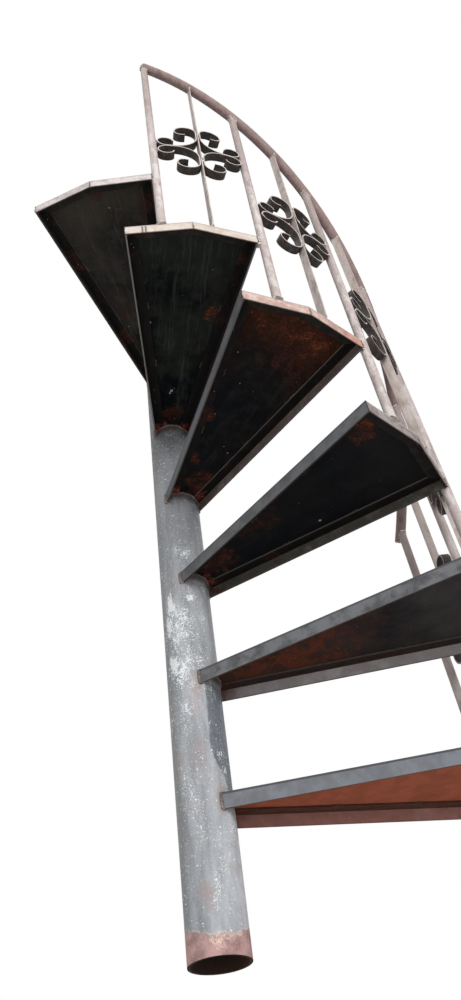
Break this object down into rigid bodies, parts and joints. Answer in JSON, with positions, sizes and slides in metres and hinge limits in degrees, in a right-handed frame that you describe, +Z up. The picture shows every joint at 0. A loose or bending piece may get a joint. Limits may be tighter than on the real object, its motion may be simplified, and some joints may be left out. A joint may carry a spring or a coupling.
{
  "type": "spiral staircase",
  "caption": "Welded steel spiral stair flight: angle-framed plate treads round a pipe pole, with a helical handrail on round and flat balusters and C scrolls.",
  "frame": {"origin": "centre of the pole's foot", "axes": "+Z up along the pole; the lowest tread points along +Y, and the flight climbs clockwise seen from above"},
  "size_m": [0.7694, 0.8623, 2.1833],
  "materials": {
    "pole": "old grey paint with lime specks, bare rust at the foot",
    "tread_plate": "near black paint with rust patches",
    "tread_side": "worn dark grey paint",
    "tread_rim": "faded pinkish primer",
    "post": "faded pinkish primer, chalky",
    "flat_baluster": "faded primer",
    "scroll": "dark paint, edges worn pale",
    "handrail": "red-brown rust"
  },
  "bodies": {
    "root": {"flat_baluster_1": "flat_baluster", "flat_baluster_2": "flat_baluster", "flat_baluster_3": "flat_baluster", "flat_baluster_4": "flat_baluster", "flat_baluster_5": "flat_baluster", "handrail": "handrail", "pole": "pole", "post_1": "post", "post_2": "post", "post_3": "post", "post_4": "post", "post_5": "post", "post_6": "post", "scrolls_1": "scroll", "scrolls_2": "scroll", "scrolls_3": "scroll", "scrolls_4": "scroll", "scrolls_5": "scroll", "tread_1_front_angle": "tread_side", "tread_1_plate": "tread_plate", "tread_1_rear_angle": "tread_side", "tread_1_rim_angle": "tread_rim", "tread_2_front_angle": "tread_side", "tread_2_plate": "tread_plate", "tread_2_rear_angle": "tread_side", "tread_2_rim_angle": "tread_rim", "tread_3_front_angle": "tread_side", "tread_3_plate": "tread_plate", "tread_3_rear_angle": "tread_side", "tread_3_rim_angle": "tread_rim", "tread_4_front_angle": "tread_side", "tread_4_plate": "tread_plate", "tread_4_rear_angle": "tread_side", "tread_4_rim_angle": "tread_rim", "tread_5_front_angle": "tread_side", "tread_5_plate": "tread_plate", "tread_5_rear_angle": "tread_side", "tread_5_rim_angle": "tread_rim", "tread_6_front_angle": "tread_side", "tread_6_plate": "tread_plate", "tread_6_rear_angle": "tread_side", "tread_6_rim_angle": "tread_rim"}
  },
  "joints": []
}
